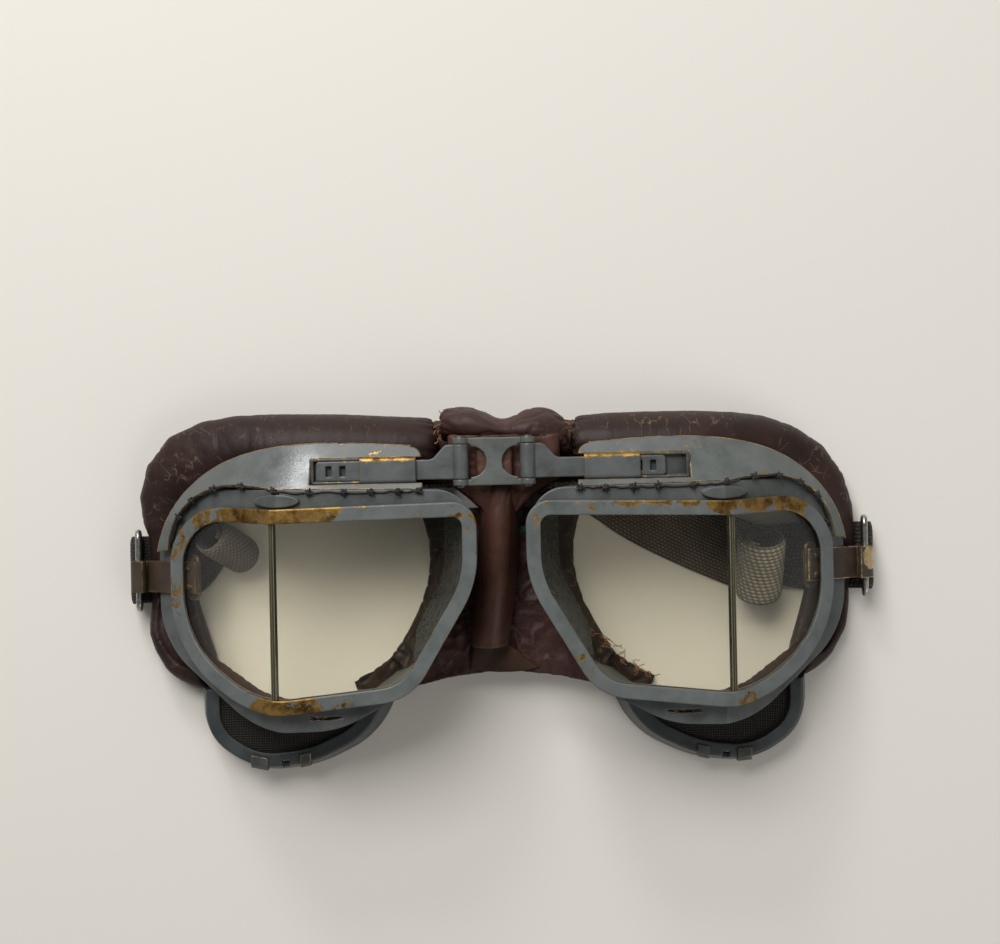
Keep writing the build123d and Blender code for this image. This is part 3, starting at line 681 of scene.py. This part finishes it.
for name, hide, relax, shape, lie, fill in (
    ("nose_roll", lightened_nose_hide, 4, nose_shape, nose_lie, 0.9),
    ("brow_roll", darkened_brow_hide, 4, brow_shape, brow_lie, 0.6),
    ("bridge_pad", lightened_nose_hide, 5, panel_shape, flat_lie, 0.5),
):
    pad = skin(name + "_leather", name, hide, 0.45, relax, shape, lie)
    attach(pad, "bridge")


# Nose webs: single leather, sewn to the nose roll and glued round the cups.
# They hang in wrinkles that run out from the foot of the roll.
FOOT_X, FOOT_Y = -2.6, -9


def wrinkled(place, normal):
    """Long folds that fan out from the foot of the nose roll."""
    x, y, z = place * 1000
    y -= EYE_LINE * 1000
    run, turn = hypot(x - FOOT_X, y - FOOT_Y), atan2(y - FOOT_Y, x - FOOT_X)
    fold = (0.8 * noise.noise(Vector((turn * 3.4, run / 5.0, 2.0))) + 0.7 * ridge(turn * 3.0, run / 6.0, 5.0, 4)
            + 0.25 * noise.noise(Vector((x / 1.3, y / 1.3, 5.0))))
    return place + Vector((0, 0, 0.75 * fold / 1000))


web_hide = aged_leather("creased_sheepskin", "#2a1613", "#452a25", "#8a6a5c", 0.3, SALTS)
for side, sign in SIGN.items():
    web = skin(side + "_nose_web_leather", side + "_nose_web", web_hide, 0.4, 2, wrinkled, flat_lie)
    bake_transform(web)


# Nose tab: a small tongue of the same leather at the foot of the nose roll, dark partly in its own colour and partly
# as painted shade.
# It closes the slit where the two webs meet.
def grid_sheet(name, place_at, along, across, thick, material):
    """A thin leather piece from a grid of points, given as shares of its two directions."""
    points = [place_at(i / along, j / across) for i in range(along + 1) for j in range(across + 1)]
    wide = across + 1
    faces = [(i * wide + j, i * wide + j + 1, (i + 1) * wide + j + 1, (i + 1) * wide + j)
             for i in range(along) for j in range(across)]
    mesh = bpy.data.meshes.new(name)
    mesh.from_pydata(points, [], faces)
    layer = mesh.uv_layers.new(name="lie")
    for corner in mesh.loops:
        place = mesh.vertices[corner.vertex_index].co
        layer.data[corner.index].uv = (place.y, place.x)
    mesh.polygons.foreach_set("use_smooth", [True] * len(mesh.polygons))
    mesh.materials.append(material)
    made = put(name, mesh)
    body = made.modifiers.new("body", "SOLIDIFY")
    body.thickness = thick / 1000
    body.offset = 0.0
    return made


def tab_point(run, side):
    """The tab widens from 8 to 17 mm as it runs down, and its end is rounded."""
    half = 3.9 + 4.6 * run
    x = -3.2 + 3.4 * run + (side - 0.5) * 2 * half
    y = -15.6 - (7.2 - 0.8 * (2 * side - 1) ** 2) * run
    return point(x, y, 9.3 - 0.6 * run + 0.25 * sin(7 * side + 3 * run) + 0.4 * sin(pi * side))


# A darker copy of the leather: partly its own dark, partly painted shade in the gaps where it lies
shaded_dark_hide = aged_leather("dark_sheepskin_painted_shade", "#28180f", "#402819", "#6a4c3c", 0.3)
tab = grid_sheet("nose_tab", tab_point, 10, 24, 0.9, shaded_dark_hide)
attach(tab, "bridge")

# Cup bindings: a strip of the nose tab's sheepskin, dark partly as painted shade, glued round the inside of each
# cup's rear edge, from the face pad round under the temple. Its raw upper edge is ragged, and its lower edge is
# turned in.
CUP_X, CUP_Y = 48, -5
# Round the cup's middle, in degrees: where the strip starts and how far it goes; in radians: the wall's slot
START, SWEEP, SLOT_ANGLE = -112, 122, -1.85
for side, sign in SIGN.items():
    wall = surface_of(side + "_eyecup_body")

    def binding_point(run, up, sign=sign, wall=wall):
        """Along the cup's wall by run and up it by up; the strip stands highest behind the slot."""
        angle = radians(START + SWEEP * run)
        ragged = 1.6 * noise.noise(Vector((run * 31, sign, 0))) + 0.8 * noise.noise(Vector((run * 90, sign, 4)))
        behind_slot = exp(-((angle - SLOT_ANGLE) / 0.32) ** 2)
        height = 5.6 + up * (6.2 + ragged + 9.0 * behind_slot)
        way = Vector((sign * cos(angle), sin(angle), 0))
        start = point(sign * CUP_X, CUP_Y, height)
        hit = wall.ray_cast(start, way)[0] or start + way * 0.03
        inset = 0.9 + 2.4 * max(0.0, 1 - up * 2.2) ** 1.5 + 0.3 * noise.noise(Vector((run * 40, up * 3, 8)))
        return hit - way * (inset / 1000)

    binding = grid_sheet(side + "_cup_binding", binding_point, 120, 8, 0.8, shaded_dark_hide)
    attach(binding, side + "_cup")

# Brow gussets: a fold of the nose tab's sheepskin behind each torn seam, between the brow roll and a side roll, dark
# partly as painted shade in the gap.
# It is sewn into both rolls.
for side, sign in SIGN.items():
    def gusset_point(run, up, sign=sign):
        """From one roll to the other by run, and from front to back by up, sagging between the two."""
        x = 12.4 + 11.6 * run
        y = 23.2 + 15.4 * up - 1.2 * sin(pi * run) * up
        z = 6.4 + 3.6 * sin(pi * up) ** 0.5 - 1.4 * sin(pi * run) + 0.5 * noise.noise(Vector((x / 2, y / 3, sign)))
        return point(sign * x, y, z)

    gusset = grid_sheet(side + "_brow_gusset", gusset_point, 24, 16, 1.0, shaded_dark_hide)
    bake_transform(gusset)

# Head strap: grey-brown elastic webbing, 16.4 mm wide, one end looped through each wire loop and rolled up
# inside the cup. The left end and the middle stretch are woven fine and close; the right end is ribbed.
STRAP_WIDE, STRAP_THICK, STRAP_Y = 16.4, 1.3, 3.3
# The face of a strap painted dark as the shade inside its roll lies this far along in its map, in millimetres, and
# so does its first stretch round the loop, painted dark as the shade under the lug
SHADED_MAP = 100.0
SHADED_LOOP_END = 9.0


def webbing(name, weave, dark, pale, pitch, along, depth):
    """Woven strap: cords along it at one pitch and their crossings at another, in millimetres. Each cord's
    crossings are shifted by weave, an angle, from those of the cord beside it."""
    material, tree, shader, where = start_material(name)
    lie = add(tree, "ShaderNodeSeparateXYZ", {}, {0: add(tree, "ShaderNodeUVMap", {"uv_map": "lie"}).outputs["UV"]})
    cord = calculate(tree, "MULTIPLY", lie.outputs["X"], 1000 / pitch)
    crown = calculate(tree, "ABSOLUTE", calculate(tree, "SINE", calculate(tree, "MULTIPLY", cord, pi)))
    shift = calculate(tree, "MULTIPLY", calculate(tree, "FLOOR", cord), weave)
    step = calculate(tree, "MULTIPLY_ADD", lie.outputs["Y"], 2 * pi * 1000 / along, shift)
    beads = ramp(tree, calculate(tree, "SINE", step), -1.0, 1.0, 0.35)
    relief = calculate(tree, "MULTIPLY", crown, beads)
    soil = ramp(tree, cloud(tree, where, 140.0, 5.0), 0.3, 0.6, 0.6)
    # Colour follows the relief: pale on the cords' crowns and dark between them, a painted highlight and painted
    # shade
    relief_shaded_colour = mix(tree, calculate(tree, "MULTIPLY", relief, soil), dark, pale)
    # Past this point of the map lies painted shade: the strap darkened inside its roll and under the lug
    in_painted_shade = calculate(tree, "GREATER_THAN", lie.outputs["X"], SHADED_MAP / 1000)
    feed(tree, shader, {
        "Base Color": mix(tree, calculate(tree, "MULTIPLY", in_painted_shade, 0.85), relief_shaded_colour, "#100e0b"),
        "Roughness": 0.85,
        "Sheen Weight": 0.1,
        "Normal": raised(tree, relief, 0.9, depth / 1000),
    })
    return material


def strap(name, lay, length, material, shaded_face=None):
    """A flat strap with rounded edges. lay gives the middle of its thickness in millimetres from the eye
    line, by the distance along it and off its middle. The last argument picks the face painted dark as the shade
    inside its roll, 0 or 1;
    its first stretch round the loop is painted dark as shade too."""
    rows, columns = round(length / 0.6), 20
    mesh = bmesh.new()
    layer = mesh.loops.layers.uv.new("lie")
    grid, at = [], {}
    for i in range(rows + 1):
        run, row = length * i / rows, []
        for j in range(columns + 1):
            off = STRAP_WIDE * (j / columns - 0.5)
            centre = Vector(lay(run, off))
            ahead = Vector(lay(run + 0.05, off)) - Vector(lay(run - 0.05, off))
            aside = Vector(lay(run, off + 0.05)) - Vector(lay(run, off - 0.05))
            out = ahead.cross(aside).normalized() * (STRAP_THICK / 2 * (1 - (2 * abs(off) / STRAP_WIDE) ** 10 * 0.7))
            pair = [mesh.verts.new(point(*(centre + out))), mesh.verts.new(point(*(centre - out)))]
            for face, v in enumerate(pair):
                # Painted shade: the face inside the roll and the first stretch round the loop, under the lug, go to
                # the dark part of the map
                dark = shaded_face is not None and (face == shaded_face or run < SHADED_LOOP_END)
                at[v] = (off + STRAP_WIDE + (SHADED_MAP if dark else 0), run)
            row.append(pair)
        grid.append(row)
    faces = []
    for above, below in zip(grid, grid[1:]):
        for (a, b), (c, d), (e, f), (g, h) in zip(above, above[1:], below, below[1:]):
            faces += [(a, c, g, e), (b, f, h, d)]
        for (a, b), (c, d) in ((above[0], below[0]), (below[-1], above[-1])):
            faces.append((a, c, d, b))
    for row, turn in ((grid[0], 1), (grid[-1], -1)):
        for (a, b), (c, d) in zip(row, row[1:]):
            faces.append((a, b, d, c)[::turn])
    for corners in faces:
        face = mesh.faces.new(corners)
        face.smooth = True
        for loop in face.loops:
            loop[layer].uv = [v / 1000 for v in at[loop.vert]]
    bmesh.ops.recalc_face_normals(mesh, faces=mesh.faces[:])
    data = bpy.data.meshes.new(name)
    mesh.to_mesh(data)
    mesh.free()
    data.materials.append(material)
    return put(name, data)


def eased(share):
    """A share from 0 to 1 that starts and stops gently."""
    return share * share * (3 - 2 * share)


# The loop's bar with the strap's radius round it, and where the strap has come down flat, in millimetres
BAR_X, BAR_Z, GRIP = 88.864, 3.767, 1.55
FLAT_X, FLAT_Z = 82.8, 0.75
# What its slope down adds to its length, and the length over which it leaves the floor for its roll
SLOPE_EXTRA, RISE = 0.9, 14.0
# Each rolled end: the place and radius of its roll, the lift of its brow end and its turn, in degrees
CURL = {"right": (61.6, 6.6, 5.1, 30.0, 0.0), "left": (72.0, 15.6, 4.0, 58.0, -45.0)}
# How far inside that radius its length is measured, how much the roll tightens, and how often it goes round
INSIDE, TIGHTEN, TURNS = 0.4, 1.5, 1.45


def strap_lay(side):
    """The strap's middle surface, round the loop's bar, in along the floor and rolled up, and its length."""
    x, y, radius, lift, turn = CURL[side]
    tip, yaw = radians(lift), radians(turn)
    end_x = x + STRAP_WIDE / 2 * sin(yaw)
    hook, slope = pi * GRIP, BAR_X - FLAT_X + SLOPE_EXTRA
    lead = FLAT_X - end_x
    sign = SIGN[side]

    def on_roll(away, off):
        """Past the roll's foot, round it: a spiral that closes by a strap's thickness each turn."""
        if away >= 0:
            u, w = away, 2.0
        else:
            angle = -away / (radius - INSIDE)
            size = radius - TIGHTEN * eased(between(angle / pi, 1.3, 2.0))
            u, w = -size * sin(angle), radius + 2.0 - size * cos(angle)
        v = off + STRAP_WIDE / 2
        v, w = v * cos(tip) - w * sin(tip), v * sin(tip) + w * cos(tip)
        v -= STRAP_WIDE / 2
        return Vector((x + u * cos(yaw) - v * sin(yaw), y + u * sin(yaw) + v * cos(yaw), 1.05 + w))

    def lay(run, off):
        if run < hook:
            angle = run / GRIP
            return Vector((sign * (BAR_X + GRIP * sin(angle)), STRAP_Y + off, BAR_Z + GRIP * cos(angle)))
        run -= hook
        low = BAR_Z - GRIP
        if run < slope:
            share = run / slope
            return Vector((sign * (BAR_X - (BAR_X - FLAT_X) * share), STRAP_Y + off,
                           low + (FLAT_Z - low) * eased(share)))
        away = lead - (run - slope)
        share = eased(between(away, RISE, 0.0))
        place = on_roll(away, off) * share
        if share < 1:
            place = place + Vector((end_x + away, STRAP_Y + off, FLAT_Z)) * (1 - share)
        return Vector((sign * place.x, place.y, place.z))

    return lay, hook + slope + lead + TURNS * 2 * pi * (radius - INSIDE)


fine_web = webbing("fine_woven_elastic", pi, "#2a2320", "#857870", 0.78, 1.0, 0.22)
ribbed_web = webbing("ribbed_elastic", 1.6, "#1c1812", "#aaa08c", 0.97, 1.2, 0.4)
for side, weave, slot, shaded_face in (("left", fine_web, "webbing", 0), ("right", ribbed_web, "ribbed_webbing", 1)):
    lay, length = strap_lay(side)
    end = strap(side + "_strap_webbing", lay, length, weave, shaded_face)
    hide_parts(side + "_strap_end", side + "_strap_roll")
    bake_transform(end)

# Middle stretch: the same strap, flat behind the brow and across the right cup.
# It is shown as two halves that meet unseen behind the nose.
STRAP_ROUTE = [(-55.6, 21.0), (-50.0, 28.0), (-26.0, 30.2), (6.0, 30.0), (24.0, 23.5), (38.0, 12.6), (60.5, 3.2)]
STEPS = 300


def route_point(share):
    """A point on the quadratic spline that the route's points control."""
    spans = len(STRAP_ROUTE) - 2
    at = min(share * spans, spans - 1e-9)
    i, t = int(at), at - int(at)
    a, b, c = (Vector(p) for p in STRAP_ROUTE[i:i + 3])
    start = a if i == 0 else (a + b) / 2
    stop = c if i == spans - 1 else (b + c) / 2
    return start * (1 - t) ** 2 + b * 2 * t * (1 - t) + stop * t * t


steps = [route_point(k / STEPS) for k in range(STEPS + 1)]
runs = [0.0]
for here, there in zip(steps, steps[1:]):
    runs.append(runs[-1] + (there - here).length)


def back_lay(run, off):
    """The middle stretch's surface: along its route, almost flat on the floor."""
    run = min(max(run, 0.0), runs[-1] - 1e-6)
    k = max(i for i in range(STEPS) if runs[i] <= run)
    here = steps[k].lerp(steps[k + 1], (run - runs[k]) / (runs[k + 1] - runs[k]))
    aim = (steps[min(k + 5, STEPS)] - steps[max(k - 4, 0)]).normalized()
    height = 0.78 + 0.12 * noise.noise(Vector((run / 9, off / 7, 0)))
    return Vector((here.x - aim.y * off, here.y + aim.x * off, height))


# The halves meet 1 mm right of the bridge's middle
middle_run = round(min(range(STEPS + 1), key=lambda k: abs(steps[k].x - 1.0)) / STEPS * runs[-1])
for side, start, stop in (("left", 0.0, middle_run), ("right", middle_run, runs[-1])):
    half = strap(side + "_strap_middle_webbing", lambda run, off, start=start: back_lay(run + start, off),
                 stop - start, fine_web)
    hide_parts("strap_back")
    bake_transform(half)

# Stitching: waxed black thread sews each side roll's leather to the brow plate's inner edge.
# It was tied off at every hole, and the cut ends stand up as little stars.
waxed, tree, shader, where = start_material("waxed_linen_thread")
plies = cloud(tree, where, 2200.0, 3.0)
feed(tree, shader, {
    "Base Color": mix(tree, plies, "#0c0c0c", "#2d2c29"),
    "Roughness": 0.55,
    "Normal": raised(tree, plies, 0.8, 0.0001),
})


def threads(name, runs, thick, material):
    """Loose or sewn threads as one round-section curve; runs are lists of points in metres."""
    curve = bpy.data.curves.new(name, "CURVE")
    curve.dimensions = "3D"
    curve.bevel_depth = thick / 2000
    curve.bevel_resolution = 1
    curve.resolution_u = 3
    curve.use_fill_caps = True
    for run in runs:
        spline = curve.splines.new("NURBS")
        spline.points.add(len(run) - 1)
        for spot, place in zip(spline.points, run):
            spot.co = (*place, 1.0)
        spline.order_u = 3
        spline.use_endpoint_u = True
    curve.materials.append(material)
    return put(name, curve)


# Points on the plate's inner edge, and how far out along it each hole lies on either side
PLATE_EDGE = [(13.0, 21.3), (17.9, 21.3), (34.5, 21.3), (50.0, 21.6), (62.0, 23.2), (70.0, 21.6), (76.0, 17.0),
              (79.2, 8.6), (79.9, 0.0)]
HOLES = {
    "left": (18.6, 23.4, 29.6, 35.8, 43.8, 51.9, 60.1, 67.6, 73.0, 76.6, 79.0),
    "right": (18.2, 24.1, 30.4, 36.2, 44.2, 52.0, 59.0, 65.1, 70.8, 75.0, 78.4),
}
THREAD_THICK, KNOT_THICK = 0.5, 0.42
# How far outside the edge the thread runs, and how far up its middle lies
OUTSIDE, UP = 0.25, 0.24


def edge_y(x):
    """The plate's inner edge at x, on a smooth curve through its points."""
    k = max(i for i in range(1, len(PLATE_EDGE) - 2) if PLATE_EDGE[i][0] <= x or i == 1)
    before, here, after, beyond = PLATE_EDGE[k - 1:k + 3]
    t = (x - here[0]) / (after[0] - here[0])
    rise_a = (after[1] - before[1]) / (after[0] - before[0]) * (after[0] - here[0])
    rise_b = (beyond[1] - here[1]) / (beyond[0] - here[0]) * (after[0] - here[0])
    return ((2 * t ** 3 - 3 * t ** 2 + 1) * here[1] + (t ** 3 - 2 * t ** 2 + t) * rise_a
            + (3 * t ** 2 - 2 * t ** 3) * after[1] + (t ** 3 - t ** 2) * rise_b)


def drop(surface, x, y, lift):
    """The point of a surface straight below x, y, lifted a little, or one 13 mm up where it has none."""
    hit = surface.ray_cast(point(x, y, 60), Vector((0, 0, -1)))[0]
    return (hit or point(x, y, 13)) + Vector((0, 0, lift / 1000))


for side, seed in (("left", 11), ("right", 12)):
    sign = SIGN[side]
    rng = random.Random(seed)
    ground = surface_of(side + "_brow_plate", side + "_eyecup_body", side + "_lens_bezel")
    sewn, knots = [], []
    for x, then in zip(HOLES[side], HOLES[side][1:]):
        run = []
        for k in range(7):
            at = x + (then - x) * k / 6
            side_step = 0.35 * sin(pi * k / 6) * rng.choice((-1, 1)) * 0.6
            run.append(drop(ground, sign * at, edge_y(at) + OUTSIDE + side_step, UP))
        sewn.append(run)
    # A knot is a ring and a half turn over it, with five cut ends round about
    for x in HOLES[side]:
        centre = drop(ground, sign * x, edge_y(x) + 0.3, 0.35)
        knots.append([centre + Vector((cos(a), sin(a), 0.35 + 0.3 * sin(2 * a))) * 0.00068
                      for a in (k * pi / 3 for k in range(7))])
        knots.append([centre + Vector((cos(a) * 0.5, sin(a) * 0.6, 0.9)) * 0.0006
                      for a in (1.1 + k * pi / 2.6 for k in range(6))])
        for k in range(5):
            a = k * 2 * pi / 5 + rng.uniform(-0.5, 0.5)
            reach = rng.uniform(0.7, 1.25)
            tail = ((0.1, 0.3), (reach * 0.5, rng.uniform(0.2, 0.5)), (reach, rng.uniform(-0.2, 0.4)))
            knots.append([centre + Vector((cos(a) * r, sin(a) * r, 0.35 + lift)) / 1000 for r, lift in tail])
    for name, runs, thick in (("_plate_stitching", sewn, THREAD_THICK), ("_stitch_knots", knots, KNOT_THICK)):
        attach(threads(side + name, runs, thick, waxed), side + "_cup")

# Torn stitching: tan linen thread, broken where the brow roll was sewn to the side rolls.
# Its frayed ends stand out of the seams, with a few more in the corner of the right cup.
linen, tree, shader, where = start_material("frayed_linen_thread")
feed(tree, shader, {"Base Color": mix(tree, cloud(tree, where, 1500.0, 3.0), "#6e4226", "#a8825a"),
                    "Roughness": 0.8})


def frayed(spots, count, reach, spread, seed):
    """Broken thread ends about some points, given with the way they stand out."""
    rng = random.Random(seed)
    runs = []
    for place, aim in spots:
        for _ in range(count):
            start = place + Vector([rng.gauss(0, spread) for _ in range(3)]) / 1000
            way = (Vector(aim).normalized() + Vector([rng.gauss(0, 0.55) for _ in range(3)])).normalized()
            run = [start]
            for _ in range(3):
                run.append(run[-1] + way * rng.uniform(0.4, 1.0) * reach / 3000)
                way = (way + Vector([rng.gauss(0, 0.5) for _ in range(3)])).normalized()
            runs.append(run)
    return runs


seams = [(point(-13.6, 38.4, 16.6), (-0.3, 0.2, 0.5)), (point(-13.9, 36.2, 17.4), (-0.6, 0, 0.5)),
         (point(-13.9, 33.6, 17.0), (-0.5, -0.5, 0.5)), (point(15.8, 37.0, 16.4), (0.4, 0.2, 0.5)),
         (point(16.0, 34.6, 16.8), (0.5, 0, 0.5))]
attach(threads("torn_stitches", frayed(seams, 6, 2.0, 0.5, 5), 0.22, linen), "bridge")
corner = [(point(21.5 + k * 2.3, -13.0 - k * 2.1, 6.8), (0.75, -0.55, 0.25)) for k in range(7)]
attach(threads("right_pad_rags", frayed(corner, 4, 3.6, 0.8, 6), 0.2, linen), "right_cup")
